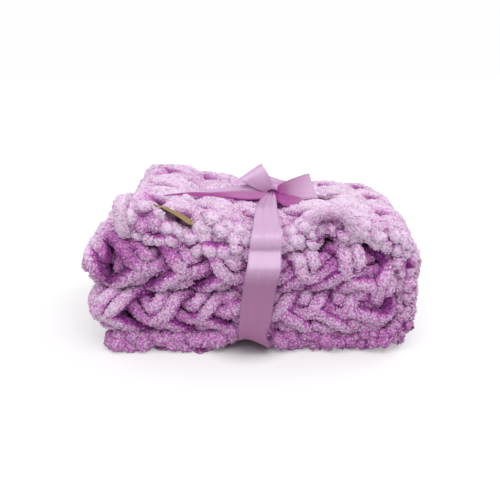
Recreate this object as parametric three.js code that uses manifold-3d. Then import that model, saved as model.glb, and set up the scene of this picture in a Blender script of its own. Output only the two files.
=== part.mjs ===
// A hand-knitted stroller blanket, folded in thirds and then in half, tied with a satin ribbon.
//
// Frame: millimetres, +Z up. The origin lies on the floor under the middle of the pack, +X runs
// along the pack from its open ends to its half fold, and the side with the free edges faces -Y.

import * as THREE from 'three';
import { mergeVertices } from 'three/addons/utils/BufferGeometryUtils.js';
import Module from 'manifold-3d';

const { lerp, smoothstep } = THREE.MathUtils;

// ---------------------------------------------------------------- the folded pack

const PACK_LENGTH = 400;   // open ends to the outside of the half fold
const PACK_DEPTH = 265;    // a third of the blanket's width
const PACK_MIDDLE = 78;    // height at which the two halves of the pack meet

const SHEET = 26;          // two strands of plush yarn, one over the other
const AIR = 2;             // between one layer and the next
const PITCH = SHEET + AIR;
const OUTSIDE = 3 * PITCH - AIR / 2;   // from the middle of the pack to its outer face

const LEFT = -PACK_LENGTH / 2;
const FOLD_X = PACK_LENGTH / 2 - OUTSIDE - 2;   // where the half fold starts to turn
const FOLD_REACH = PACK_LENGTH / 2 - FOLD_X;
const FULLNESS = { upper: 0.13, lower: 0.2 };   // the half fold is fuller than a round, most so below

// How far the left end of each panel stands back, in the upper and in the lower half of the pack.
// The outer panel goes the long way round the half fold, so it comes up shorter.
const SETBACK = {
  outer: { upper: 47, lower: 20 },
  base: { upper: 0, lower: 3 },
  inner: { upper: 6, lower: 8 },
};

// Plush yarn thins out at the free ends of the sheet.
const END_TAPER = 0.6;
const END_TAPER_LENGTH = 9;

// ---------------------------------------------------------------- how the ribbon pulls the pack in

const TOP_HEIGHT = 170;      // outer face of the pack between the ribbon and the half fold
const LEFT_RISE = 18;        // the loose left end stands higher
const MIDDLE_RISE = 7;       // and so does the middle of the pack there
const RIBBON_WIDTH = 40;
const RIBBON_THICKNESS = 1;
const RIBBON_GAP = 0.95;     // between the ribbon and the cloth that it lies on

// The middle of the ribbon at the front edges and at the back of the pack: it leans to the right.
const BAND_X = { frontLow: 4, frontHigh: 17, knot: 26, backHigh: 28, backLow: 20 };

const TOP_DIP = { middle: 4, edge: 14 };   // how deep the ribbon presses into the top
const DIP_FLAT = 25;                       // half width of the dip's level bottom
const DIP_EDGE = 65;                       // half width at which the dip has run out

const GROOVE = 4;                          // the ribbon's bed in the underside
const GROOVE_FLAT = 27;
const GROOVE_EDGE = 42;
const ARCH_SLACK = 1.4;                    // the ribbon hangs a little below the arch
const ARCH = { height: 24, x: -8, left: 50, right: 36, depth: 75 };   // front edge lifted by the ribbon

const FRONT = -PACK_DEPTH / 2;
const BACK = PACK_DEPTH / 2;

/** 1 within `flat` of zero, falling smoothly to 0 at `edge`. */
function plateau(distance, flat, edge) {
  return 1 - smoothstep(Math.abs(distance), flat, edge);
}

/** The ribbon's middle on the top (`high`) or under the pack, at depth y. */
function bandX(y, high) {
  const front = high ? BAND_X.frontHigh : BAND_X.frontLow;
  const back = high ? BAND_X.backHigh : BAND_X.backLow;
  return lerp(front, back, (y - FRONT) / PACK_DEPTH);
}

/** Height of the pack's top outer face. */
function topHeight(x, y) {
  const rise = LEFT_RISE * (1 - smoothstep(x, LEFT + 40, -30));
  const depth = lerp(TOP_DIP.middle, TOP_DIP.edge, smoothstep(Math.abs(y), 20, 115));
  return TOP_HEIGHT + rise - depth * plateau(x - bandX(y, true), DIP_FLAT, DIP_EDGE);
}

/** Height of the pack's underside: on the floor, but for the ribbon's bed and the lifted front edge. */
function floorHeight(x, y) {
  const bed = GROOVE * plateau(x - bandX(y, false), GROOVE_FLAT, GROOVE_EDGE);
  const across = 1 - smoothstep(Math.abs(x - ARCH.x), 0, x < ARCH.x ? ARCH.left : ARCH.right);
  const inward = 1 - smoothstep(y, FRONT + 8, FRONT + ARCH.depth);
  return Math.max(bed, ARCH.height * across * inward);
}

/** Height at which the two halves of the pack meet. */
function middleHeight(x) {
  return PACK_MIDDLE + MIDDLE_RISE * (1 - smoothstep(x, LEFT + 10, LEFT + 130));
}

/** Height of a point that lies h from the middle of the pack, h being negative in the lower half. */
function packHeight(x, y, h) {
  const middle = middleHeight(x);
  const span = h > 0 ? topHeight(x, y) - middle : middle - floorHeight(x, y);
  return middle + (h / OUTSIDE) * span;
}

// ---------------------------------------------------------------- the sheet's section

/**
 * The sheet's middle line, front to back and round, in y and in h, the distance from the middle
 * of the pack. It starts at the outer panel's free edge in front, turns down round the back fold,
 * runs forward as the base panel, turns up round the front fold and ends as the inner panel.
 */
function sectionLine() {
  const level = { base: PITCH / 2, inner: PITCH * 1.5, outer: PITCH * 2.5 };
  const backTurn = { y: BACK - PITCH - SHEET / 2, h: (level.base + level.outer) / 2, radius: PITCH };
  const frontTurn = { y: FRONT + (PITCH + SHEET) / 2, h: PITCH, radius: PITCH / 2 };
  const points = [];

  function run(fromY, toY, h, normal, shares, panel) {
    shares.forEach((share) => {
      points.push({ y: lerp(fromY, toY, share), h, ny: 0, nh: normal, panels: [panel, panel], mix: 0 });
    });
  }
  function turn(centre, startAngle, steps, panels) {
    for (let i = 1; i < steps; i += 1) {
      const angle = startAngle - Math.PI * (i / steps);
      const ny = Math.cos(angle);
      const nh = Math.sin(angle);
      const y = centre.y + centre.radius * ny;
      const h = centre.h + centre.radius * nh;
      points.push({ y, h, ny, nh, panels, mix: i / steps });
    }
  }

  run(FRONT + SHEET / 2, backTurn.y, level.outer, 1, [0, 0.05, 0.1, 0.16, 0.24, 0.36, 0.5, 0.66, 0.82, 1], 'outer');
  turn(backTurn, Math.PI / 2, 8, ['outer', 'base']);
  run(backTurn.y, frontTurn.y, level.base, -1, [0, 0.5, 1], 'base');
  turn(frontTurn, -Math.PI / 2, 6, ['base', 'inner']);
  run(frontTurn.y, backTurn.y, level.inner, 1, [0, 0.5, 1], 'inner');
  return points;
}

/** The section's closed outline: out along one face, round the free edge, back along the other. */
function sectionOutline() {
  const line = sectionLine();
  const half = SHEET / 2;
  const capSteps = 5;
  const outline = [];

  function face(point, side) {
    outline.push({ ...point, oy: side * half * point.ny, oh: side * half * point.nh });
  }
  function cap(point, out) {
    for (let i = 1; i < capSteps; i += 1) {
      const angle = Math.PI * (i / capSteps);
      outline.push({
        ...point,
        oy: out * half * Math.sin(angle),
        oh: -out * half * Math.cos(angle) * point.nh,
      });
    }
  }

  line.forEach((point) => face(point, -1));
  cap(line[line.length - 1], 1);
  [...line].reverse().forEach((point) => face(point, 1));
  cap(line[0], -1);
  return outline;
}

// ---------------------------------------------------------------- sweeping the section round the half fold

/** Stations along the pack: the upper half, round the fold, and back along the lower half. */
function packStations() {
  const plain = [0, 0.03, 0.12, 0.22, 0.32, 0.4];
  const underRibbon = [0.46, 0.49, 0.52, 0.55, 0.58, 0.61, 0.64, 0.67, 0.7];
  const nearFold = [0.75, 0.81, 0.87, 0.94];
  const straight = [...plain, ...underRibbon, ...nearFold];
  const turnSteps = 12;
  const upper = straight.map((along) => ({ half: 'upper', along }));
  const lower = straight.map((along) => ({ half: 'lower', along })).reverse();
  const fold = [];
  for (let i = 0; i <= turnSteps; i += 1) {
    fold.push({ half: 'fold', angle: Math.PI * (0.5 - i / turnSteps) });
  }
  return [...upper, ...fold, ...lower];
}

function packPoint(station, point) {
  const setback = (half) => lerp(SETBACK[point.panels[0]][half], SETBACK[point.panels[1]][half], point.mix);
  if (station.half === 'fold') {
    const y = point.y + point.oy;
    const h = point.h + point.oh;
    const extra = station.angle > 0 ? FULLNESS.upper : FULLNESS.lower;
    const fuller = 1 + extra * Math.sin(2 * station.angle) ** 4;
    const rise = fuller * Math.sin(station.angle);
    const share = (h / OUTSIDE) * rise;
    const span = rise > 0 ? topHeight(FOLD_X, y) - PACK_MIDDLE : PACK_MIDDLE - floorHeight(FOLD_X, y);
    const x = FOLD_X + FOLD_REACH * (h / OUTSIDE) * fuller * Math.cos(station.angle);
    return new THREE.Vector3(x, y, PACK_MIDDLE + share * span);
  }
  const x = lerp(LEFT + setback(station.half), FOLD_X, station.along);
  const fromEnd = x - LEFT - setback(station.half);
  const taper = lerp(END_TAPER, 1, smoothstep(fromEnd, -1, END_TAPER_LENGTH));
  const y = point.y + point.oy * taper;
  const h = point.h + point.oh * taper;
  return new THREE.Vector3(x, y, packHeight(x, y, station.half === 'upper' ? h : -h));
}

/** One closed body from rings of points, with flat ends. */
function sweptBody(rings, section) {
  const count = section.length;
  const positions = rings.flat().flatMap((p) => [p.x, p.y, p.z]);
  const faces = [];
  for (let r = 0; r + 1 < rings.length; r += 1) {
    for (let i = 0; i < count; i += 1) {
      const a = r * count + i;
      const b = r * count + ((i + 1) % count);
      faces.push(a, b, b + count, a, b + count, a + count);
    }
  }
  const last = (rings.length - 1) * count;
  THREE.ShapeUtils.triangulateShape(section, []).forEach(([a, b, c]) => {
    faces.push(a, c, b, last + a, last + b, last + c);
  });
  return closedGeometry(positions, faces);
}

/** A geometry whose faces point outward, whichever way round they were listed. */
function closedGeometry(positions, faces) {
  const corner = (i) => new THREE.Vector3().fromArray(positions, 3 * i);
  let volume = 0;
  for (let i = 0; i < faces.length; i += 3) {
    volume += corner(faces[i]).dot(corner(faces[i + 1]).cross(corner(faces[i + 2])));
  }
  const outward = volume > 0 ? faces : [...faces].reverse();
  const geometry = new THREE.BufferGeometry();
  geometry.setAttribute('position', new THREE.Float32BufferAttribute(positions, 3));
  geometry.setIndex(outward);
  return geometry;
}

function blanketGeometry() {
  const outline = sectionOutline();
  const rings = packStations().map((station) => outline.map((point) => packPoint(station, point)));
  const section = outline.map((point) => new THREE.Vector2(point.y + point.oy, point.h + point.oh));
  return sweptBody(rings, section);
}

// ---------------------------------------------------------------- ribbon strips

/** A strip of ribbon from a grid of points, a row for each step along it. */
function stripGeometry(grid) {
  const rows = grid.length;
  const columns = grid[0].length;
  const at = (r, c) => grid[Math.min(Math.max(r, 0), rows - 1)][Math.min(Math.max(c, 0), columns - 1)];
  const positions = [];
  [1, -1].forEach((side) => {
    for (let r = 0; r < rows; r += 1) {
      for (let c = 0; c < columns; c += 1) {
        const along = at(r + 1, c).clone().sub(at(r - 1, c));
        const across = at(r, c + 1).clone().sub(at(r, c - 1));
        const normal = along.cross(across).normalize();
        const p = at(r, c).clone().addScaledVector(normal, (side * RIBBON_THICKNESS) / 2);
        positions.push(p.x, p.y, p.z);
      }
    }
  });
  const under = rows * columns;
  const faces = [];
  for (let r = 0; r + 1 < rows; r += 1) {
    for (let c = 0; c + 1 < columns; c += 1) {
      const a = r * columns + c;
      const b = a + 1;
      const d = a + columns;
      faces.push(a, d, d + 1, a, d + 1, b);
      faces.push(under + a, under + d + 1, under + d, under + a, under + b, under + d + 1);
    }
  }
  const rim = [];
  for (let c = 0; c < columns; c += 1) rim.push(c);
  for (let r = 1; r < rows; r += 1) rim.push(r * columns + columns - 1);
  for (let c = columns - 2; c >= 0; c -= 1) rim.push((rows - 1) * columns + c);
  for (let r = rows - 2; r > 0; r -= 1) rim.push(r * columns);
  rim.forEach((a, i) => {
    const b = rim[(i + 1) % rim.length];
    faces.push(a, b, under + b, a, under + b, under + a);
  });
  return closedGeometry(positions, faces);
}

/**
 * The ribbon round the pack, from the knot over the front edge, under the pack and up the back.
 * Each row is a point of the pack's outline, where the ribbon's middle lies and its half width.
 */
function bandRows() {
  const half = RIBBON_WIDTH / 2;
  const lip = SHEET / 2;
  const backRadius = PITCH + SHEET / 2;
  const backTurnH = OUTSIDE - backRadius;
  const rows = [];

  function add(y, h, oy, oh, x, width, lift = 0) {
    rows.push({ y, h, oy, oh, x, width, lift });
  }
  function turn(centreY, centreH, radius, startAngle, steps, x, width, lift = 0) {
    for (let i = 0; i <= steps; i += 1) {
      const angle = startAngle + (Math.PI / 2) * (i / steps);
      const oy = Math.cos(angle);
      const oh = Math.sin(angle);
      add(centreY + radius * oy, centreH + radius * oh, oy, oh, x, width, lift);
    }
  }

  add(-4, OUTSIDE, 0, 1, BAND_X.knot, 4, 6);
  add(-16, OUTSIDE, 0, 1, BAND_X.knot - 1, 7, 5);
  add(-34, OUTSIDE, 0, 1, lerp(BAND_X.knot, BAND_X.frontHigh, 0.3), 10, 3);
  add(-60, OUTSIDE, 0, 1, lerp(BAND_X.knot, BAND_X.frontHigh, 0.5), 13, 1.5);
  add(-88, OUTSIDE, 0, 1, lerp(BAND_X.knot, BAND_X.frontHigh, 0.75), 16, 0.5);
  turn(FRONT + lip, OUTSIDE - lip, lip, Math.PI / 2, 4, BAND_X.frontHigh, 17.5);
  [0.5, 0.25, 0, -0.25, -0.5].forEach((level) => {
    add(FRONT, level * 2 * (OUTSIDE - lip), -1, 0, lerp(BAND_X.frontLow, BAND_X.frontHigh, 0.5 + level), half);
  });
  turn(FRONT + lip, lip - OUTSIDE, lip, Math.PI, 4, BAND_X.frontLow, half - 1, -ARCH_SLACK);
  for (let i = 1; i < 10; i += 1) {
    const y = lerp(FRONT + lip, BACK - backRadius, i / 10);
    const slack = ARCH_SLACK * (1 - smoothstep(y, FRONT + 0.75 * ARCH.depth, FRONT + 1.1 * ARCH.depth));
    add(y, -OUTSIDE, 0, -1, bandX(y, false), half - 1, -slack);
  }
  turn(BACK - backRadius, -backTurnH, backRadius, 1.5 * Math.PI, 5, BAND_X.backLow, half);
  turn(BACK - backRadius, backTurnH, backRadius, 0, 5, BAND_X.backHigh, half - 1);
  add(64, OUTSIDE, 0, 1, BAND_X.backHigh, 17, 1.5);
  add(38, OUTSIDE, 0, 1, BAND_X.backHigh, 14, 4);
  add(18, OUTSIDE, 0, 1, BAND_X.knot + 1, 9, 7);
  add(4, OUTSIDE, 0, 1, BAND_X.knot, 4, 7);
  return rows;
}

function bandGrid() {
  const columns = 6;
  const clear = RIBBON_GAP + RIBBON_THICKNESS / 2;
  return bandRows().map((row) => {
    const line = [];
    for (let c = 0; c <= columns; c += 1) {
      const x = row.x + row.width * ((2 * c) / columns - 1);
      const z = packHeight(x, row.y, row.h);
      line.push(new THREE.Vector3(x, row.y + clear * row.oy, z + clear * row.oh + row.lift));
    }
    return line;
  });
}

// The bow. Each row holds the ribbon's middle, measured from the knot, and the step from there to its edge.
const BOW = {
  leftLoop: [
    { middle: [0, -1, 0], edge: [2, 1, 4] },
    { middle: [-10, -7, 7], edge: [8, 1, 7] },
    { middle: [-21, -9, 17], edge: [13, 1, 8] },
    { middle: [-29, -5, 25], edge: [15, 1, 8] },
    { middle: [-31, 2, 27], edge: [15, 2, 8] },
    { middle: [-27, 8, 23], edge: [14, 3, 8] },
    { middle: [-15, 8, 12], edge: [10, 3, 7] },
    { middle: [0, 2, 1], edge: [3, 2, 4] },
  ],
  rightLoop: [
    { middle: [0, -1, 0], edge: [0, 1, 4] },
    { middle: [12, -8, 1], edge: [2, 1, 7] },
    { middle: [28, -11, 4], edge: [0, 1, 12] },
    { middle: [43, -8, 7], edge: [-4, 2, 15] },
    { middle: [47, 0, 6], edge: [-5, 3, 15] },
    { middle: [41, 8, 4], edge: [-3, 3, 14] },
    { middle: [20, 8, 0], edge: [2, 2, 9] },
    { middle: [0, 2, 0], edge: [2, 1, 4] },
  ],
  leftTail: [
    { middle: [0, 0, -1], edge: [1, 4, 2] },
    { middle: [-18, -1, -1], edge: [0, 8, 5] },
    { middle: [-42, -6, 0], edge: [0, 10, 6] },
    { middle: [-72, -18, 3], edge: [2, 10, 5] },
    { middle: [-104, -34, 7], edge: [3, 10, 2] },
    { middle: [-138, -52, 13], edge: [4, 9, 0] },
  ],
  rightTail: [
    { middle: [0, -3, -3], edge: [1, 4, 1] },
    { middle: [16, -12, -4], edge: [2, 9, 2] },
    { middle: [36, -17, -2], edge: [2, 12, 3] },
    { middle: [60, -18, -1], edge: [1, 12, 1] },
    { middle: [84, -17, -3], edge: [0, 11, 0] },
  ],
};
const KNOT_SIZE = { x: 7, y: 8, z: 7 };

function bowGrid(rows, knot) {
  const steps = 2 * (rows.length - 1);
  const middles = new THREE.CatmullRomCurve3(rows.map((row) => new THREE.Vector3(...row.middle)));
  const edges = new THREE.CatmullRomCurve3(rows.map((row) => new THREE.Vector3(...row.edge)));
  const grid = [];
  for (let i = 0; i <= steps; i += 1) {
    const middle = middles.getPoint(i / steps).add(knot);
    const edge = edges.getPoint(i / steps);
    grid.push([-1, 0, 1].map((side) => laidOnTop(middle.clone().addScaledVector(edge, side))));
  }
  return grid;
}

/** A point of the bow, lifted on to the pack's top where it would sink in. */
function laidOnTop(point) {
  const resting = topHeight(point.x, point.y) + 2 * RIBBON_GAP;
  return point.setZ(Math.max(point.z, resting));
}

const library = await Module();
library.setup();

function toSolid(geometry) {
  const bare = geometry.clone();
  bare.deleteAttribute('normal');
  bare.deleteAttribute('uv');
  const merged = mergeVertices(bare, 1e-4);
  return new library.Manifold(new library.Mesh({
    numProp: 3,
    vertProperties: new Float32Array(merged.attributes.position.array),
    triVerts: new Uint32Array(merged.index.array),
  }));
}

function toGeometry(solid) {
  const mesh = solid.getMesh();
  const geometry = new THREE.BufferGeometry();
  geometry.setAttribute('position', new THREE.BufferAttribute(mesh.vertProperties, 3));
  geometry.setIndex(new THREE.BufferAttribute(mesh.triVerts, 1));
  return geometry;
}

/** One length of ribbon: round the pack, the knot, the two loops and the two free ends. */
function ribbonGeometry() {
  const seat = packHeight(BAND_X.knot, 0, OUTSIDE) + RIBBON_GAP;
  const knot = new THREE.Vector3(BAND_X.knot, 0, seat + KNOT_SIZE.z);
  const lump = new THREE.SphereGeometry(1, 12, 8);
  lump.scale(KNOT_SIZE.x, KNOT_SIZE.y, KNOT_SIZE.z);
  lump.translate(knot.x, knot.y, knot.z);
  let whole = toSolid(lump).add(toSolid(stripGeometry(bandGrid())));
  Object.values(BOW).forEach((rows) => {
    whole = whole.add(toSolid(stripGeometry(bowGrid(rows, knot))));
  });
  return toGeometry(whole);
}

// ---------------------------------------------------------------- the sewn patch

const LABEL = { length: 52, width: 26, thickness: 1.5, corner: 4, x: -98, y: -98, turn: -0.42, gap: 0.5 };

/** A patch with round corners, lying on the top panel. */
function labelGeometry() {
  const { length, width, corner } = LABEL;
  const shape = new THREE.Shape();
  const right = length / 2 - corner;
  const back = width / 2 - corner;
  shape.absarc(right, back, corner, 0, Math.PI / 2);
  shape.absarc(-right, back, corner, Math.PI / 2, Math.PI);
  shape.absarc(-right, -back, corner, Math.PI, 1.5 * Math.PI);
  shape.absarc(right, -back, corner, 1.5 * Math.PI, 2 * Math.PI);
  return new THREE.ExtrudeGeometry(shape, { depth: LABEL.thickness, bevelEnabled: false, curveSegments: 5 });
}

// ---------------------------------------------------------------- the object

const plushYarn = new THREE.MeshStandardMaterial({ color: 0xd9b0de, roughness: 1, metalness: 0 });
const satin = new THREE.MeshStandardMaterial({ color: 0xc79bcb, roughness: 0.35, metalness: 0 });
const suede = new THREE.MeshStandardMaterial({ color: 0xa8965a, roughness: 0.9, metalness: 0 });

function named(name, geometry, material) {
  const mesh = new THREE.Mesh(geometry, material);
  mesh.name = name;
  return mesh;
}

const blanket = named('blanket', blanketGeometry(), plushYarn);
const ribbon = named('ribbon', ribbonGeometry(), satin);
const label = named('label', labelGeometry(), suede);
const reach = LABEL.length / 2;
const slope = (topHeight(LABEL.x + reach, LABEL.y) - topHeight(LABEL.x - reach, LABEL.y)) / LABEL.length;
const upright = new THREE.Vector3(-slope, 0, 1).normalize();
label.quaternion.setFromUnitVectors(new THREE.Vector3(0, 0, 1), upright);
label.rotateZ(LABEL.turn);
label.position.set(LABEL.x, LABEL.y, topHeight(LABEL.x, LABEL.y)).addScaledVector(upright, LABEL.gap);

const strollerBlanket = new THREE.Group();
strollerBlanket.add(blanket, ribbon, label);

export default strollerBlanket;
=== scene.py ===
import math

import bpy
import numpy as np
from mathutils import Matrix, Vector


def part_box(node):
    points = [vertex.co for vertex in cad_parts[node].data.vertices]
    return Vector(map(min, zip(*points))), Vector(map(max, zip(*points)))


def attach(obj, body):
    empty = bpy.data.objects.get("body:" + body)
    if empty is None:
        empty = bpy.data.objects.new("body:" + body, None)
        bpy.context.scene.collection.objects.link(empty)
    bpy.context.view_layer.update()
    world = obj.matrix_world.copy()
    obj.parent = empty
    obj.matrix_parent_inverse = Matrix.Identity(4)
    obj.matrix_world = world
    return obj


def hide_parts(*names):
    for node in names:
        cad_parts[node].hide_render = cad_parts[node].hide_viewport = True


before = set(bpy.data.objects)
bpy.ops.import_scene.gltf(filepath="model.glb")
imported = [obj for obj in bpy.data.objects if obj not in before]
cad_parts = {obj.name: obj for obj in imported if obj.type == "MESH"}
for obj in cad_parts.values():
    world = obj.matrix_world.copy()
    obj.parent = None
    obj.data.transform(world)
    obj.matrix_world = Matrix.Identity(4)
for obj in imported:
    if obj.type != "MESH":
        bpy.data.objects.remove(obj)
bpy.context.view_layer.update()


# ---------------------------------------------------------------- the folded cloth
# The blanket is one hand-knitted sheet, folded in thirds from front to back and then in half.
# It is knitted flat with two strands of plush yarn held together, which makes it 26 mm thick.
# This section says where each spot of the flat sheet lies in the pack, and makes the cloth's body.

SHEET = 0.026          # the legs of the loops lie over their heads
AIR = 0.002            # between one layer and the next
PITCH = SHEET + AIR
OUTSIDE = 3 * PITCH - AIR / 2   # from the middle of the pack to its outer face

pack_low, pack_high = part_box("blanket")
LEFT, FRONT = pack_low[0], pack_low[1]
RIGHT, BACK = pack_high[0], pack_high[1]
PACK_MIDDLE = 0.078        # height of the crease between the two halves
FOLD_STRETCH = 0.002       # the half fold reaches this much further out than a round
FOLD_X = RIGHT - OUTSIDE - FOLD_STRETCH
FOLD_REACH = RIGHT - FOLD_X
FULLNESS = {"upper": 0.13, "lower": 0.20}    # the half fold is fuller than a round, most so below

SETBACK = {            # how far each panel's left end stands back: upper half, lower half
    "outer": (0.047, 0.020),
    "base": (0.000, 0.003),
    "inner": (0.006, 0.008),
}

# The ribbon presses the top down and lifts the front edge of the underside. Each rise or fall
# comes with the places in x or y between which it starts or ends.
TOP_HEIGHT = 0.170
LEFT_RISE, LEFT_RISE_X = 0.018, (LEFT + 0.040, -0.030)
# The stitches stand up more at the back of the loose end, and the back of the half fold sinks.
BACK_RISE, BACK_RISE_X, BACK_RISE_Y = 0.008, (-0.090, 0.005), (0.0, 0.11)
RIGHT_FALL, RIGHT_FALL_X, RIGHT_FALL_Y = 0.008, (0.050, 0.115), (0.010, 0.100)
MIDDLE_RISE, MIDDLE_RISE_X = 0.007, (LEFT + 0.010, LEFT + 0.130)
BAND_X = {"front_low": 0.004, "front_high": 0.017, "knot": 0.026, "back_high": 0.028, "back_low": 0.020}
FRONT_X = {"low": -0.001, "high": 0.0155}    # and on the front face
FACE_EDGE = (FRONT + 0.010, FRONT + 0.040)   # where it goes over from there to the top
PRESSED, PRESSED_X = 0.42, (0.019, 0.030)    # how much the ribbon flattens the stitches under it
LABEL_PLACE = (-0.0905, -0.106)
LABEL_TURN = -0.42
LABEL_SLOPE = 0.22         # it lies lower towards the ribbon
LABEL_SINK = 0.0050        # and in among the stitches, which are flat under it
UNDER_LABEL = {"along": (0.025, 0.032), "across": (0.011, 0.018), "flatter": 0.9}
LIP_RISE = 0.003           # the top layer's front corner curls up at the left
LIP_X, LIP_Y = (LEFT + 0.050, LEFT + 0.100), (FRONT + 0.008, FRONT + 0.040)
# The dip under the ribbon, from the knot to the edges and across it, and the bed that it lies in
# on the underside.
TOP_DIP = {"knot": 0.004, "front": 0.014, "back": 0.009}
DIP_Y, DIP_X = (0.020, 0.115), (0.025, 0.065)
GROOVE, GROOVE_X = 0.004, (0.027, 0.042)
ARCH = {"height": 0.024, "x": -0.008, "reach": 0.050, "rim": 0.008, "depth": 0.075}   # in front


def smooth(value, low, high):
    share = np.clip((value - low) / (high - low), 0.0, 1.0)
    return share * share * (3.0 - 2.0 * share)


def fade(value, start, end):
    return 1.0 - smooth(value, start, end)


def plateau(distance, flat, edge):
    return fade(np.abs(distance), flat, edge)


def mix(a, b, share):
    return a + (b - a) * share


def band_x(y, high):
    """The ribbon's middle on the top, or on the underside, at a place y from front to back."""
    front = BAND_X["front_high"] if high else BAND_X["front_low"]
    back = BAND_X["back_high"] if high else BAND_X["back_low"]
    return mix(front, back, (y - FRONT) / (BACK - FRONT))


def top_height(x, y):
    rise = LEFT_RISE * fade(x, *LEFT_RISE_X)
    rise = rise + BACK_RISE * smooth(y, *BACK_RISE_Y) * fade(x, *BACK_RISE_X)
    rise = rise - RIGHT_FALL * smooth(y, *RIGHT_FALL_Y) * smooth(x, *RIGHT_FALL_X)
    away = np.where(y > 0, TOP_DIP["back"], TOP_DIP["front"])
    depth = mix(TOP_DIP["knot"], away, smooth(np.abs(y), *DIP_Y))
    return TOP_HEIGHT + rise - depth * plateau(x - band_x(y, True), *DIP_X)


def floor_height(x, y):
    bed = GROOVE * plateau(x - band_x(y, False), *GROOVE_X)
    across = fade(np.abs(x - ARCH["x"]) / ARCH["reach"], 0.0, 1.0)
    inward = fade(y, FRONT + ARCH["rim"], FRONT + ARCH["depth"])
    return np.maximum(bed, ARCH["height"] * across * inward)


def pack_height(x, y, h):
    """The height of the section's level h, measured from its middle, at a place in the pack."""
    middle = PACK_MIDDLE + MIDDLE_RISE * fade(x, *MIDDLE_RISE_X)
    span = np.where(h > 0, top_height(x, y) - middle, middle - floor_height(x, y))
    return middle + h / OUTSIDE * span


def ribbon_x(y, h, on_top):
    """The middle of the ribbon where it crosses the sheet at y and h."""
    level = np.where(on_top, h, -h) / OUTSIDE
    in_front = mix(FRONT_X["low"], FRONT_X["high"], 0.5 + 0.5 * level)
    along = mix(band_x(y, False), band_x(y, True), np.where(on_top, 1.0, 0.0))
    return mix(in_front, along, smooth(y, *FACE_EDGE))


# The sheet's section, along its width: outer panel, back fold, base, front fold, inner panel.
LEVEL = {"base": PITCH * 0.5, "inner": PITCH * 1.5, "outer": PITCH * 2.5}
BACK_TURN = (BACK - PITCH - SHEET / 2, PITCH * 1.5, PITCH)
FRONT_TURN = (FRONT + (PITCH + SHEET) / 2, PITCH, PITCH / 2)
EDGE_Y = FRONT + SHEET / 2
RUNS = np.cumsum([
    0.0,
    BACK_TURN[0] - EDGE_Y,
    math.pi * BACK_TURN[2],
    BACK_TURN[0] - FRONT_TURN[0],
    math.pi * FRONT_TURN[2],
    BACK_TURN[0] - FRONT_TURN[0],
])
CLOTH_WIDTH = float(RUNS[-1])
CLOTH_LENGTH = 0.782


def section(v):
    """Where the sheet's middle lies in y and h at v along its width, its outward normal, its setbacks."""
    back = (v - RUNS[1]) / BACK_TURN[2]
    front = (v - RUNS[3]) / FRONT_TURN[2]
    places = [v < RUNS[1], v < RUNS[2], v < RUNS[3], v < RUNS[4]]
    y = np.select(places, [
        EDGE_Y + v,
        BACK_TURN[0] + BACK_TURN[2] * np.sin(back),
        BACK_TURN[0] - (v - RUNS[2]),
        FRONT_TURN[0] - FRONT_TURN[2] * np.sin(front),
    ], FRONT_TURN[0] + (v - RUNS[4]))
    h = np.select(places, [
        np.full_like(v, LEVEL["outer"]),
        BACK_TURN[1] + BACK_TURN[2] * np.cos(back),
        np.full_like(v, LEVEL["base"]),
        FRONT_TURN[1] - FRONT_TURN[2] * np.cos(front),
    ], LEVEL["inner"])
    ny = np.select(places, [np.zeros_like(v), np.sin(back), np.zeros_like(v), -np.sin(front)], 0.0)
    nh = np.select(places, [np.ones_like(v), np.cos(back), -np.ones_like(v), -np.cos(front)], 1.0)
    panels = np.select(places, [
        np.zeros_like(v), (v - RUNS[1]) / (RUNS[2] - RUNS[1]),
        np.ones_like(v), 1.0 + (v - RUNS[3]) / (RUNS[4] - RUNS[3]),
    ], 2.0)
    ends = [SETBACK[name] for name in ("outer", "base", "inner")]
    upper = np.interp(panels, [0, 1, 2], [end[0] for end in ends])
    lower = np.interp(panels, [0, 1, 2], [end[1] for end in ends])
    return y, h, ny, nh, upper, lower


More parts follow.
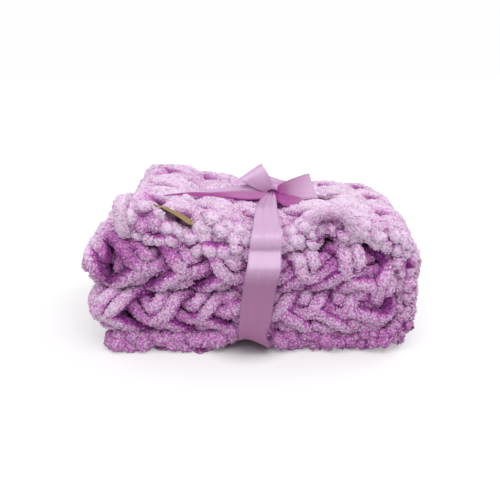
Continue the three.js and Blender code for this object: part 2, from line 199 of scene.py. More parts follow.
def fold(u, v, n):
    """The place in the pack of the flat sheet's spot u, v, lifted by n from the sheet's middle."""
    middle_y, middle_h, ny, nh, back_upper, back_lower = section(v)
    squeeze = FOLD_REACH / OUTSIDE
    start = LEFT + back_upper
    top_run = FOLD_X - start
    turn_run = math.pi * middle_h * squeeze
    under_run = FOLD_X - LEFT - back_lower
    along = u / CLOTH_LENGTH * (top_run + turn_run + under_run)
    turning = (along - top_run) / turn_run
    on_top = along < top_run
    on_turn = (along >= top_run) & (turning < 1.0)
    angle = math.pi * (0.5 - np.clip(turning, 0.0, 1.0))
    x = np.where(on_top, start + along, FOLD_X - (along - top_run - turn_run))
    tied = plateau(x - ribbon_x(middle_y, middle_h, on_top), *PRESSED_X)
    top_panel = on_top & (middle_h > LEVEL["outer"] - 0.001)
    from_label = x - LABEL_PLACE[0], middle_y - LABEL_PLACE[1]
    along_label = from_label[0] * math.cos(LABEL_TURN) + from_label[1] * math.sin(LABEL_TURN)
    across_label = from_label[1] * math.cos(LABEL_TURN) - from_label[0] * math.sin(LABEL_TURN)
    patched = (plateau(along_label, *UNDER_LABEL["along"])
               * plateau(across_label, *UNDER_LABEL["across"]) * top_panel)
    flatter = np.maximum(PRESSED * tied, UNDER_LABEL["flatter"] * patched)
    n = np.where((n > 0) & ~on_turn, n * (1.0 - flatter), n)
    n = n - patched * (LABEL_SINK + LABEL_SLOPE * from_label[0])
    y = middle_y + ny * n
    h = middle_h + nh * n
    fuller = 1.0 + np.where(angle > 0, FULLNESS["upper"], FULLNESS["lower"]) * np.sin(2.0 * angle) ** 4
    x = np.where(on_turn, FOLD_X + squeeze * h * fuller * np.cos(angle), x)
    rise = fuller * np.sin(angle)
    span = np.where(rise > 0, top_height(FOLD_X, y) - PACK_MIDDLE, PACK_MIDDLE - floor_height(FOLD_X, y))
    z = np.where(on_top, pack_height(x, y, h), pack_height(x, y, -h))
    z = np.where(on_turn, PACK_MIDDLE + h / OUTSIDE * rise * span, z)
    curl = fade(x, *LIP_X) * fade(y, *LIP_Y)
    z = z + LIP_RISE * curl * top_panel
    return np.stack([x, y, z], axis=-1)


def linear(code):
    """An sRGB hex colour as the linear RGBA that shaders take."""
    channels = [int(code[i:i + 2], 16) / 255 for i in (1, 3, 5)]
    return tuple(c / 12.92 if c <= 0.04045 else ((c + 0.055) / 1.055) ** 2.4 for c in channels) + (1.0,)


def new_material(name, **settings):
    """A material, its nodes and its main shader, with a value for each named input."""
    material = bpy.data.materials.new(name)
    material.use_nodes = True
    tree = material.node_tree
    shader = tree.nodes["Principled BSDF"]
    for key, value in settings.items():
        shader.inputs[key.replace("_", " ")].default_value = value
    return material, tree, shader


def node(tree, kind, settings=None, **links):
    """A node of one kind: its settings, then a value or a link for each input, named or as i0, i1."""
    made = tree.nodes.new(kind)
    for key, value in (settings or {}).items():
        setattr(made, key, value)
    for key, value in links.items():
        place = int(key[1:]) if key[0] == "i" and key[1:].isdigit() else key.replace("_", " ")
        if isinstance(value, bpy.types.NodeSocket):
            tree.links.new(value, made.inputs[place])
        else:
            made.inputs[place].default_value = value
    return made


def add_object(name, data):
    thing = bpy.data.objects.new(name, data)
    bpy.context.scene.collection.objects.link(thing)
    return thing


def new_piece(name, vertices, faces, material):
    """A smooth-shaded mesh object from arrays, as a piece of the pack."""
    mesh = bpy.data.meshes.new(name)
    mesh.from_pydata(vertices.tolist(), [], faces.tolist())
    mesh.validate()
    mesh.polygons.foreach_set("use_smooth", [True] * len(mesh.polygons))
    mesh.materials.append(material)
    piece = add_object(name, mesh)
    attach(piece, "root")
    return piece


def closed_sheet(front, back):
    """The vertices and faces of a thin closed sheet between two grids of points."""
    rows, columns = front.shape[:2]
    count = rows * columns
    index = np.arange(count).reshape(rows, columns)
    a, b = index[:-1, :-1].ravel(), index[:-1, 1:].ravel()
    c, d = index[1:, 1:].ravel(), index[1:, :-1].ravel()
    upper = np.stack([a, b, c, d], axis=1)
    lower = np.stack([d, c, b, a], axis=1) + count
    rim = np.concatenate([index[0, :], index[1:, -1], index[-1, -2::-1], index[-2:0:-1, 0]])
    following = np.roll(rim, -1)
    side = np.stack([following, rim, rim + count, following + count], axis=1)
    vertices = np.concatenate([front.reshape(-1, 3), back.reshape(-1, 3)])
    return vertices, np.concatenate([upper, lower, side])


GROUND_FACES = (-0.0105, -0.0075)   # the thin cloth lies behind the loops' heads
GROUND_END, GROUND_SIDE = 0.022, 0.014    # and stops short of the sheet's ends and side edges
GROUND_STEP = 0.010

ground_u = np.arange(GROUND_END, CLOTH_LENGTH - GROUND_END, GROUND_STEP)
ground_v = np.arange(GROUND_SIDE, CLOTH_WIDTH - GROUND_SIDE + GROUND_STEP / 2, GROUND_STEP)
grid_u, grid_v = np.meshgrid(ground_u, ground_v, indexing="ij")
faces_of_ground = [fold(grid_u, grid_v, np.full_like(grid_u, face)) for face in GROUND_FACES]

# Plush (chenille) yarn: a thread core with short cut pile all round. It is matt and soft, its pile
# scatters light at the rims, and the tufts show as small lumps, with painted shade in the darker
# pits. On the top, where the pile stands open, the painted pits show less. The strands carry a
# painted shade for each point: from 0, the darkest painted shade deep between two strands, to 1,
# the palest painted light at the open tips.
plush, plush_tree, plush_shader = new_material(
    "plush_yarn_cut_pile", Roughness=0.95, Specular_IOR_Level=0.15,
    Subsurface_Weight=0.4, Subsurface_Radius=(1.0, 0.9, 1.0), Subsurface_Scale=0.003,
    Sheen_Weight=0.18, Sheen_Roughness=0.5, Sheen_Tint=linear("#F4E2F7"))

TUFT = 0.0030              # a clump of pile
PILE = 0.0012              # one cut end, as coarse as it needs to show
OPEN_TOP = (0.145, 0.178)  # between these heights the pile opens
# the pits are painted shade, and this says how strongly they show
MOTTLING = (0.52, 0.30)    # how much the pits show on the sides, and on the top

where = node(plush_tree, "ShaderNodeTexCoord").outputs["Object"]
clumps = node(plush_tree, "ShaderNodeTexVoronoi", Vector=where, Scale=1 / TUFT)
pile = node(plush_tree, "ShaderNodeTexNoise", Vector=where, Scale=1 / PILE, Detail=2.0, Roughness=0.6)
# the painted light and shade of each point, which the strands carry
depth = node(plush_tree, "ShaderNodeAttribute", {"attribute_name": "painted_pile_shade"})
height = node(plush_tree, "ShaderNodeSeparateXYZ", Vector=where)
mottling = node(plush_tree, "ShaderNodeMath", {"operation": "SUBTRACT"},
                i0=pile.outputs["Fac"], i1=clumps.outputs["Distance"])
mottled = node(plush_tree, "ShaderNodeMapRange", Value=height.outputs["Z"],
               i1=OPEN_TOP[0], i2=OPEN_TOP[1], i3=MOTTLING[0], i4=MOTTLING[1])
speckle = node(plush_tree, "ShaderNodeMath", {"operation": "MULTIPLY_ADD"},
               i0=mottling.outputs["Value"], i1=mottled.outputs["Result"], i2=depth.outputs["Fac"])
tone = node(plush_tree, "ShaderNodeValToRGB", Fac=speckle.outputs["Value"])
# the ramp turns painted shade into dark purple and painted light into pale lilac
shades = ((0.05, "#6E1C72"), (0.33, "#A34C9C"), (0.60, "#C981C2"), (0.90, "#EDD2EC"))
for extra in range(len(shades) - 2):
    tone.color_ramp.elements.new(0.5)
for stop, (position, code) in zip(tone.color_ramp.elements, shades):
    stop.position = position
    stop.color = linear(code)
plush_tree.links.new(tone.outputs["Color"], plush_shader.inputs["Base Color"])
heights = node(plush_tree, "ShaderNodeMath", {"operation": "MULTIPLY_ADD"},
               i0=clumps.outputs["Distance"], i1=-1.0, i2=pile.outputs["Fac"])
relief = node(plush_tree, "ShaderNodeBump", Height=heights.outputs["Value"], Strength=0.7, Distance=0.0012)
plush_tree.links.new(relief.outputs["Normal"], plush_shader.inputs["Normal"])

# The cloth behind the loops is painted in shade, as if the loops shaded it, most so on the sides;
# on the top it is painted paler between the open stitches.
GROUND_PAINTED_SHADE, GROUND_OPEN, GROUND_OPEN_Z = 0.58, 0.34, (0.135, 0.150)

ground = new_piece("knitted_cloth", *closed_sheet(*faces_of_ground), plush)
ground_painted_shade = ground.data.attributes.new("painted_pile_shade", "FLOAT", "POINT")
ground_z = np.array([spot.co.z for spot in ground.data.vertices])
ground_shade = GROUND_PAINTED_SHADE + GROUND_OPEN * smooth(ground_z, *GROUND_OPEN_Z)
ground_painted_shade.data.foreach_set("value", ground_shade.astype(np.float32))
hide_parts("blanket")


# ---------------------------------------------------------------- the stitches
# Plain knitting with two strands held together: each loop comes up through the last one,
# so its two legs lie on the face as a V and its head and foot lie behind. The rows run across
# the blanket, and the columns of Vs run along the pack and round the half fold.

WALES = 9
WALE = 0.077               # width of a column
EDGE_MARGIN = 0.0175       # from the sheet's edge line to the first column
ROWS = 14
END_MARGIN = 0.019
END_EDGE = 0.0125          # no loop's head reaches past the end loops
SLACK = 0.11               # rows are wider at the loose ends and closer at the half fold
STRAND = 0.0080            # radius of one strand, without its pile
APART = 0.0082             # each strand from the middle of the pair
DEPTH = 0.0060             # how far the legs stand out and the heads lie behind
DRIFT = (-0.009, 0.006)    # the columns run a little aslant on the pack, from one end to the other
# The unevenness of hand knitting: of a whole loop and of its points, along, across and in depth.
UNEVEN_LOOP, UNEVEN_POINT = [0.045, 0.0018, 0.0006], [0.018, 0.0009, 0.0004]
UNEVEN_THICKNESS = 0.05
# On the outer panel each V leans: its one leg is fuller and stands out more than the other.
LEANING = {"across": 0.05 * WALE, "out": 0.18, "thicker": 0.05}

# Half a loop, from the middle of its foot to the middle of its head:
# across (share of the column), along (share of the row), depth (share of DEPTH), thickness.
HALF_LOOP = np.array([
    [0.50, -0.30, -0.75, 0.92],
    [0.32, -0.30, -0.75, 0.92],
    [0.13, -0.20, -0.50, 0.92],
    [0.07, -0.02, 0.50, 1.00],
    [0.14, 0.24, 1.10, 1.06],
    [0.25, 0.50, 1.30, 1.10],
    [0.36, 0.76, 1.15, 1.08],
    [0.46, 1.02, 0.45, 1.00],
    [0.44, 1.22, -0.60, 0.92],
    [0.23, 1.32, -0.75, 0.92],
    [0.00, 1.34, -0.75, 0.92],
])

draw = np.random.default_rng(41)


def spline(points, steps):
    """A smooth run through the rows of an array, with a number of steps between two rows."""
    padded = np.concatenate([2 * points[:1] - points[1:2], points, 2 * points[-1:] - points[-2:-1]])
    t = np.linspace(0.0, 1.0, steps, endpoint=False)[None, :, None]
    p0, p1, p2, p3 = (padded[i:len(padded) - 3 + i][:, None, :] for i in range(4))
    run = 0.5 * (2 * p1 + (p2 - p0) * t + (2 * p0 - 5 * p1 + 4 * p2 - p3) * t ** 2
                 + (3 * p1 - p0 - 3 * p2 + p3) * t ** 3)
    return np.concatenate([run.reshape(-1, points.shape[1]), points[-1:]])


def course(row):
    """One row of loops as a run of u, v, n and thickness."""
    knots = []
    for wale in range(WALES):
        middle = EDGE_MARGIN + (wale + 0.5) * WALE
        sway_row, sway_v, sway_n = draw.normal(0.0, UNEVEN_LOOP)
        fuller = draw.normal(1.0, UNEVEN_THICKNESS)
        leaning = 1.0 if middle < RUNS[1] else 0.0
        for side, half in ((-1, HALF_LOOP), (1, HALF_LOOP[::-1])):
            across, along, depth, thickness = half.T
            jitter = draw.normal(0.0, UNEVEN_POINT, (len(half), 3))
            leg = leaning * (depth > 0)
            run = np.stack([
                row + along + sway_row + jitter[:, 0],
                middle + side * across * WALE + sway_v + jitter[:, 1] - LEANING["across"] * leg,
                depth * DEPTH * (1.0 + LEANING["out"] * side * leg) + sway_n + jitter[:, 2],
                thickness * STRAND * fuller * (1.0 + LEANING["thicker"] * side * leaning),
            ], axis=1)
            knots.append(run if side == -1 and wale == 0 else run[1:])
    run = spline(np.concatenate(knots), 4)
    share = 1.0 - run[:, 0] / ROWS
    run[:, 0] = END_MARGIN + (CLOTH_LENGTH - 2 * END_MARGIN) * (
        share + SLACK * np.sin(2 * math.pi * share) / (2 * math.pi))
    run[:, 0] = np.clip(run[:, 0], END_EDGE, CLOTH_LENGTH - END_EDGE)
    drift = mix(DRIFT[0], DRIFT[1], smooth(share, 0.0, 1.0))
    run[:, 1] += drift * np.sin(math.pi * np.clip(run[:, 1] / CLOTH_WIDTH, 0.0, 1.0))
    return run


def unit(vectors, tiny=0.0):
    return vectors / (np.linalg.norm(vectors, axis=-1, keepdims=True) + tiny)


NUDGE = 0.001              # a short step on the sheet, to find which way something points
SMOOTHED_OVER = 7          # points of a run that share one direction
AT_END = (0.014, 0.040)    # this near the sheet's end, the pile points out of it
END_TURN = 1.6

# How pale the pile is painted: in the middle of the sheet's face, and the painted light or shade
# that each place adds or takes: paler on the legs than the heads, paler on the top and at the ends,
# and darker low down.
PALE = {"face": 0.73, "leg": 0.12, "top": 0.05, "top_right": 0.09, "end": 0.20, "low": -0.06}
PALE_RIGHT_X = (0.030, 0.110)
PALE_TOP_Z, PALE_LOW_Z = (0.145, 0.165), (0.070, 0.095)

# The layers under the top one are painted in its shade, just below its rim. Left of the ribbon the
# top layer droops, so the painted shade starts lower there.
RIM_SHADE, RIM_Z = 0.32, (0.130, 0.145)
RIM_DROOP, RIM_DROOP_X = 0.012, (-0.010, 0.010)


def pair(run):
    """The two strands of a run, side by side on the cloth: points, radii, outward, painted shade, shown."""
    u, v, n, radii = run.T
    points = fold(u, v, n)
    outward = unit(fold(u, v, n + NUDGE) - fold(u, v, n - NUDGE))
    spare = SMOOTHED_OVER // 2
    steps = np.pad(np.gradient(points, axis=0), ((spare, spare), (0, 0)), mode="edge")
    kernel = np.ones(SMOOTHED_OVER) / SMOOTHED_OVER
    along = np.stack([np.convolve(axis, kernel, "valid") for axis in steps.T], axis=1)
    across = unit(np.cross(outward, along), 1e-9)
    step = np.where(u < CLOTH_LENGTH / 2, -NUDGE, NUDGE)
    endward = unit(fold(u + step, v, n) - fold(u, v, n), 1e-9)
    at_end = fade(np.minimum(u, CLOTH_LENGTH - u), *AT_END)
    outward = unit(outward + END_TURN * at_end[:, None] * endward)
    seen = shows(u, v, n)
    x, z = points[:, 0], points[:, 2]
    # painted light and shade: paler on the top and at the ends, darker low down, under the top layer's rim,
    # in the gaps between the layers and under the bow
    on_top = (PALE["top"] + PALE["top_right"] * smooth(x, *PALE_RIGHT_X)) * smooth(z, *PALE_TOP_Z)
    lower = PALE["low"] * fade(z, *PALE_LOW_Z)
    rim_height = z + RIM_DROOP * fade(x, *RIM_DROOP_X)
    below_rim = RIM_SHADE * smooth(rim_height, *RIM_Z) * (v > RUNS[2]) * (1.0 - at_end)
    level = (PALE["face"] + PALE["leg"] * n / DEPTH + on_top + lower + PALE["end"] * at_end
             - below_rim + openness(points, v))
    return [evened(points + side * APART * across, radii, outward, level, seen) for side in (-1, 1)]


SEEN_STEP = 0.0034         # between the rings of a strand where it shows
HIDDEN_STEP = 0.0090       # and where another layer covers it
SIDES = 10
UNEVEN_RINGS = 0.10        # share of the radius
TUFTS_A_RING = 11
TUFT_LENGTH = (0.0006, 0.0019)
TUFT_HALF = 0.0022         # from its middle to its corners
TUFT_SUNK = 0.0007         # its root is inside the strand by this
TUFT_LEAN = 0.55           # share of its length
TUFTS_FACE = -0.35         # none grows on the strand's inner side
# painted shade: the core between the tufts is painted darker, each tuft's root is painted in shade and its
# tip paler, less so on the top; uneven is a random change of tone
WALL_SHADE = 0.18          # the core between the tufts is darker
TUFT_SHADE = {"middle": 0.06, "deepest": 0.10, "uneven": 0.06, "root": 0.21, "tip": 0.23}
CALM_Z = (0.145, 0.175)    # towards the top the pile is shorter and more even
CALM = {"length": 0.35, "contrast": 0.5}
FLATTENED = 0.003          # pile nearer the floor than this is pressed flat on it
# painted shade: the pile is painted no darker than this, and less dark on the top
DEEPEST = 0.16             # the darkest shade of the pile, next to another strand
DEEPEST_ON_TOP, DEEPEST_Z = 0.41, (0.145, 0.162)    # more light comes between the strands there

# Where the sheet lies on the outside: how far from its folds, its ends and its edges.
BACK_COVERED, ENDS_SHOW = 0.02, 0.050
FRONT_SHOWS = (0.045, 0.030)
UNDERNEATH = {"from": 0.66, "front": 0.030, "back": 0.010}    # the side that it lies on
HEADS = -0.0065            # the loops' heads lie deeper than this


def shows(u, v, n):
    """True where the strand lies on the outside of the pack."""
    outer = v < RUNS[2] - BACK_COVERED
    front = (v > RUNS[3] - FRONT_SHOWS[0]) & (v < RUNS[4] + FRONT_SHOWS[1])
    end = (u < ENDS_SHOW) | (u > CLOTH_LENGTH - ENDS_SHOW)
    underneath = ((u > UNDERNEATH["from"] * CLOTH_LENGTH) & (v > UNDERNEATH["front"])
                  & (v < RUNS[1] - UNDERNEATH["back"]))
    return (outer | front | end) & ~underneath & (n > HEADS)


def evened(points, radii, outward, level, seen):
    """The strand with closer points where it shows."""
    lengths = np.linalg.norm(np.diff(points, axis=0), axis=1)
    steps = np.where(seen[:-1] | seen[1:], SEEN_STEP, HIDDEN_STEP)
    reach = np.concatenate([[0.0], np.cumsum(lengths / steps)])
    wanted = np.linspace(0.0, reach[-1], max(int(reach[-1]), 8))
    table = np.column_stack([points, radii, outward, level, seen])
    table = np.stack([np.interp(wanted, reach, column) for column in table.T], axis=1)
    return table[:, :3], table[:, 3], table[:, 4:7], table[:, 7], table[:, 8] > 0.5


def deepest(points):
    """The darkest painted shade of the pile."""
    return DEEPEST + DEEPEST_ON_TOP * smooth(points[:, 2], *DEEPEST_Z)


# The gaps between the layers are painted in shade from a little behind the front, less so near
# the ends.
GAP = {"shade": 0.40, "front": (FRONT + 0.012, FRONT + 0.045), "back": (0.0, 0.06),
       "top": (0.150, 0.162), "left": (LEFT + 0.040, LEFT + 0.070),
       "right": (RIGHT - 0.040, RIGHT - 0.020)}


def openness(points, v):
    """How much painted shade the pile gets in the gaps between the layers and under the bow."""
    x, y, z = points.T
    inside = smooth(y, *GAP["front"]) * fade(y, *GAP["back"])
    within = smooth(x, *GAP["left"]) * fade(x, *GAP["right"])
    gap = GAP["shade"] * inside * fade(z, *GAP["top"]) * within * (v > RUNS[1])
    return -gap - under_bow(x, y, z)


# A painted shadow of the bow's tails and loops on a strip of the top: x and y of its middle, and
# how wide it is.
BOW_SHADE = 0.42
BOW_LINE = ([-0.100, -0.060, -0.020, 0.030, 0.060, 0.100],
            [-0.045, -0.016, -0.008, -0.014, -0.026, -0.022])
BOW_NEAR, BOW_Z = (0.010, 0.018), (0.145, 0.160)
BOW_LEFT, BOW_RIGHT = (-0.090, -0.070), (0.075, 0.095)


def under_bow(x, y, z):
    near = plateau(y - np.interp(x, *BOW_LINE), *BOW_NEAR) * smooth(z, *BOW_Z)
    within = smooth(x, *BOW_LEFT) * fade(x, *BOW_RIGHT)
    return BOW_SHADE * near * within


FACING_SHADE, FLANK_SHADE, FLANK = 0.12, 0.60, (-0.15, 0.36)


def shade_of(facing, free):
    """The pile is painted in shade on a strand's flanks, where the next strand lies against it, and a
    little paler where it faces out.
    """
    return FACING_SHADE * facing - FLANK_SHADE * fade(facing + free, *FLANK)


class Yarn:
    """Gathers strands and their pile into one mesh."""

    def __init__(self):
        self.spots, self.depths, self.count = [], [], 0
        self.faces = {"walls": [], "caps": [], "tufts": []}

    def add(self, spots, depths, **faces):
        self.spots.append(spots)
        self.depths.append(depths)
        for kind, corners in faces.items():
            self.faces[kind].append(np.asarray(corners) + self.count)
        self.count += len(spots)

    def strand(self, points, radii, outward, level, seen, free=0.0):
        """A closed tube with its pile. outward points out of the cloth, level is how pale each point
        is painted, seen is where it shows, and free is how clear it stands of the strands beside it."""
        count = len(points)
        tangents = unit(np.gradient(points, axis=0), 1e-12)
        up = np.empty_like(tangents)
        carried = np.cross(tangents[0], [0.31, 0.52, 0.79])
        for i, tangent in enumerate(tangents):
            carried = carried - tangent * np.dot(carried, tangent)
            carried /= np.linalg.norm(carried)
            up[i] = carried
        side = np.cross(tangents, up)
        rolls = np.linspace(0.0, 2 * math.pi, SIDES, endpoint=False)
        radial = (np.cos(rolls)[None, :, None] * up[:, None, :]
                  + np.sin(rolls)[None, :, None] * side[:, None, :])
        lumps = draw.normal(0.0, 1.0, (count, SIDES))
        lumps = (np.roll(lumps, 1, 1) + lumps + np.roll(lumps, -1, 1)) / 3
        reach = radii[:, None] * (1.0 + UNEVEN_RINGS * lumps)
        rings = points[:, None, :] + reach[..., None] * radial
        facing = np.einsum("ijk,ik->ij", radial, outward)
        # painted shade on the core: darker on the flanks and between the tufts
        depths = np.maximum(level[:, None] + shade_of(facing, free) - WALL_SHADE, deepest(points)[:, None])
        index = np.arange(count * SIDES).reshape(count, SIDES)
        after = np.roll(index, -1, axis=1)
        walls = np.stack([index[:-1], after[:-1], after[1:], index[1:]], axis=-1).reshape(-1, 4)
        tips = count * SIDES
        caps = [(tips, after[0, i], index[0, i]) for i in range(SIDES)]
        caps += [(tips + 1, index[-1, i], after[-1, i]) for i in range(SIDES)]
        self.add(np.concatenate([rings.reshape(-1, 3), points[:1], points[-1:]]),
                 np.concatenate([depths.ravel(), level[:1], level[-1:]]), walls=walls, caps=caps)
        self.pile(points, radii, up, side, tangents, outward, level, seen, free)

    def pile(self, points, radii, up, side, tangents, outward, level, seen, free):
        """Cut tufts on the strand's outer side, each a small closed point."""
        ring = np.repeat(np.nonzero(seen)[0], TUFTS_A_RING)
        if not len(ring):
            return
        roll = draw.uniform(0.0, 2 * math.pi, len(ring))
        radial = np.cos(roll)[:, None] * up[ring] + np.sin(roll)[:, None] * side[ring]
        facing = np.einsum("ij,ij->i", radial, outward[ring])
        kept = facing > TUFTS_FACE
        ring, radial, facing = ring[kept], radial[kept], facing[kept]
        count = len(ring)
        round_about = np.cross(radial, tangents[ring])
        slide = draw.uniform(-0.5, 0.5, count)[:, None] * SEEN_STEP
        root = points[ring] + radial * (radii[ring, None] - TUFT_SUNK) + tangents[ring] * slide
        calm = smooth(points[ring, 2], *CALM_Z) * (free == 0.0)
        length = draw.uniform(*TUFT_LENGTH, count)[:, None] * (1.0 - CALM["length"] * calm[:, None])
        lean = draw.normal(0.0, TUFT_LEAN, (count, 2))
        way = radial + lean[:, :1] * tangents[ring] + lean[:, 1:] * round_about
        tip = root + length * way + radial * TUFT_SUNK
        turned = draw.uniform(0.0, 2 * math.pi, count)
        corners = [
            root + TUFT_HALF * (np.cos(turned + step)[:, None] * tangents[ring]
                                + np.sin(turned + step)[:, None] * round_about)
            for step in (0.0, 2 * math.pi / 3, 4 * math.pi / 3)
        ]
        # painted shade on each tuft: its root darker, its tip paler
        base = level[ring] + shade_of(facing, free) - TUFT_SHADE["middle"]
        spots = np.stack(corners + [tip], axis=1).reshape(-1, 3)
        shade = (np.maximum(base, deepest(points[ring]) + TUFT_SHADE["deepest"])
                 + draw.normal(0.0, TUFT_SHADE["uneven"], count))
        contrast = 1.0 - CALM["contrast"] * calm
        depths = np.stack([shade - TUFT_SHADE["root"] * contrast] * 3
                          + [shade + TUFT_SHADE["tip"] * contrast], axis=1).ravel()
        start = 4 * np.arange(count)[:, None]
        faces = ((0, 1, 3), (1, 2, 3), (2, 0, 3), (2, 1, 0))
        self.add(spots, depths, tufts=np.concatenate([start + np.array(face) for face in faces]))

    def piece(self, name, material):
        """The gathered strands as one object, with their painted shade kept for the material."""
        spots = np.concatenate(self.spots)
        z = spots[:, 2]
        spots[:, 2] = np.where(z < FLATTENED, FLATTENED * np.exp(z / FLATTENED - 1.0), z)
        walls, caps, tufts = (np.concatenate(self.faces[kind]) for kind in ("walls", "caps", "tufts"))
        mesh = bpy.data.meshes.new(name)
        mesh.vertices.add(len(spots))
        mesh.vertices.foreach_set("co", spots.ravel())
        corners = np.concatenate([walls.ravel(), caps.ravel(), tufts.ravel()])
        mesh.loops.add(len(corners))
        mesh.loops.foreach_set("vertex_index", corners)
        round_faces = len(walls) + len(caps)
        starts = np.concatenate([4 * np.arange(len(walls)),
                                 4 * len(walls) + 3 * np.arange(len(caps) + len(tufts))])
        mesh.polygons.add(len(starts))
        mesh.polygons.foreach_set("loop_start", starts)
        mesh.polygons.foreach_set("use_smooth", np.arange(len(starts)) < round_faces)
        mesh.update(calc_edges=True)
        mesh.validate()
        # the painted shade of each point
        depth = mesh.attributes.new("painted_pile_shade", "FLOAT", "POINT")
        depth.data.foreach_set("value", np.concatenate(self.depths).astype(np.float32))
        mesh.materials.append(material)
        piece = add_object(name, mesh)
        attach(piece, "root")
        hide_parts("blanket")
        return piece


ROWS_A_PIECE = 3
for first in range(0, ROWS, ROWS_A_PIECE):
    yarn = Yarn()
    for row in range(first, min(first + ROWS_A_PIECE, ROWS)):
        for points, radii, outward, level, seen in pair(course(row)):
            yarn.strand(points, radii, outward, level, seen)
    yarn.piece(f"stitches_{first // ROWS_A_PIECE + 1}", plush)


# ---------------------------------------------------------------- the edges
# At the side edges the rows turn back on themselves, and at the two ends the cast-on and cast-off
# loops close the knitting. The turns stand close together as small round knobs, in three tiers on
# the outer panel's edge and in two on the inner one's, which is mostly hidden.

KNOB_PITCH = 0.0145
KNOB_REACH = 0.0056        # how far each turn comes out of the edge
TURN_STEPS = 11
EDGE_CORE = 0.012          # the middle of the turns, this far inside the edge
TURN_THINNER = 0.07        # each is thinner where it comes out,
# painted: the turns are paler where they come out and darker where they go in
TURN_SHADE = 0.20          # and paler
# How uneven they are, and how far along the edge before that changes.
UNEVEN = {"turning": (2.0, 0.030), "reach": (0.50, 0.016), "edge": (0.0016, 0.024),
          "thickness": (0.17, 0.015)}
WANDER_EVERY = 0.0105

# Shares of a long edge's length. Round the half fold the turns are thinner and closer, with four
# more of them, and underneath they are thicker and painted in the pack's shade.
HALF_TURN, HALF_TURN_THINNER = (0.08, 0.20), 0.08
CLOSER, CLOSER_BY = (0.36, 0.64), 4
BENEATH, BENEATH_THICKER, BENEATH_WANDER = (0.60, 0.70), 0.16, 0.6
BENEATH_SHADE, BENEATH_SHADE_AT = 0.15, (0.50, 0.56)
DEEP_SHADE, DEEP_SHADE_AT, DEEP_SHADE_WIDE = 0.05, 0.64, (0.06, 0.12)

# Distances along it. The turns behind the raised loop are painted deep in its shade, and so are
# the lower ones where the left corner curls up.
LOOP_PLACE, LOOP_WIDE, LOOP_THINNER, LOOP_SHADE = 0.241, (0.010, 0.018), 0.25, 0.16
CURL_PLACE, CURL_WIDE, CURL_SHADE, CURL_Z = 0.030, (0.010, 0.022), 0.24, (0.164, 0.176)
# painted light: the upper turns are painted paler
EDGE_TOP, EDGE_TOP_Z = 0.15, (0.100, 0.155)      # the upper ones are in the light


def edge_run(yarn, length, spot, tier, pitch=KNOB_PITCH, reach=KNOB_REACH, twist=0.0010,
             thick=0.0070, wander=0.0026, phase=None, rough=1.0, lit=0.68, free=0.22):
    """A strand that turns in and out along an edge; spot gives u and v at a distance along and inward."""
    turns = length / pitch
    t = np.linspace(0.0, 1.0, int(turns * TURN_STEPS))
    long_edge = length > CLOTH_WIDTH

    def uneven(spread, every):
        """A smooth random run along the edge, with a new value every so often."""
        count = max(int(length / every), 4)
        knots = draw.normal(0.0, spread, (count, 1))
        return np.interp(t * (count - 1) * 6, np.arange(6 * (count - 1) + 1), spline(knots, 6)[:, 0])

    first = draw.uniform() if phase is None else phase
    at_turn = plateau(t - 0.5, *HALF_TURN) * long_edge
    closer = CLOSER_BY * smooth(t, *CLOSER) * long_edge
    beneath = smooth(t, *BENEATH) * long_edge
    in_loop = plateau(t * length - LOOP_PLACE, *LOOP_WIDE) * long_edge
    angle = 2 * math.pi * (turns * t + closer + first) + rough * uneven(*UNEVEN["turning"])
    inward = (reach * (1.0 + rough * uneven(*UNEVEN["reach"])) * np.cos(angle)
              + uneven(*UNEVEN["edge"]))
    u, v = spot(t * length, inward)
    n = (tier(t) + twist * np.sin(angle)
         + uneven(wander, WANDER_EVERY) * (1.0 + BENEATH_WANDER * beneath))
    fuller = 1.0 - HALF_TURN_THINNER * at_turn + BENEATH_THICKER * beneath - LOOP_THINNER * in_loop
    radii = thick * fuller * (
        1.0 - TURN_THINNER * np.cos(angle) + rough * uneven(*UNEVEN["thickness"]))
    points = fold(u, v, n)
    outward = unit(points - fold(*spot(t * length, EDGE_CORE + 0 * inward), 0 * n))
    # painted light and shade of the turns: darker underneath, in the curl and behind the raised loop, paler
    # on the top and where they come out, darker in the gaps
    shaded = (BENEATH_SHADE * smooth(t, *BENEATH_SHADE_AT)
              + DEEP_SHADE * plateau(t - DEEP_SHADE_AT, *DEEP_SHADE_WIDE)) * long_edge
    in_curl = plateau(t * length - CURL_PLACE, *CURL_WIDE) * long_edge
    shaded = shaded + CURL_SHADE * in_curl * fade(points[:, 2], *CURL_Z)
    on_top = EDGE_TOP * smooth(points[:, 2], *EDGE_TOP_Z) - shaded - LOOP_SHADE * in_loop
    level = lit + on_top - TURN_SHADE * np.cos(angle) + openness(points, v)
    yarn.strand(points, radii, outward, level, np.full(len(t), True), free=free)


TIER, TIER_LOOSER, TIER_LOOSER_AT = 0.0066, 0.0012, (0.25, 0.45)
TIER_INSIDE = {-1: 0.0065, 0: 0.0040, 1: 0.0110}    # how far inside the edge each tier lies
INNER_INSIDE, INNER_THICK = 0.007, 0.0076
INNER_START = 0.045        # the inner edge's own corners are tucked in


def side_tier(place):
    """The tiers stand further apart on the loose top than round the half fold and underneath."""
    return lambda t: place * (TIER + TIER_LOOSER * fade(t, *TIER_LOOSER_AT))


def inner_edge(s, inward):
    u = mix(INNER_START, CLOTH_LENGTH - INNER_START, s / CLOTH_LENGTH)
    return u, CLOTH_WIDTH - INNER_INSIDE - inward


yarn = Yarn()
for place, inside in TIER_INSIDE.items():
    edge_run(yarn, CLOTH_LENGTH, lambda s, inward: (s, inside + inward), side_tier(place))
for place in (-1, 1):
    edge_run(yarn, CLOTH_LENGTH, inner_edge, side_tier(place), thick=INNER_THICK)

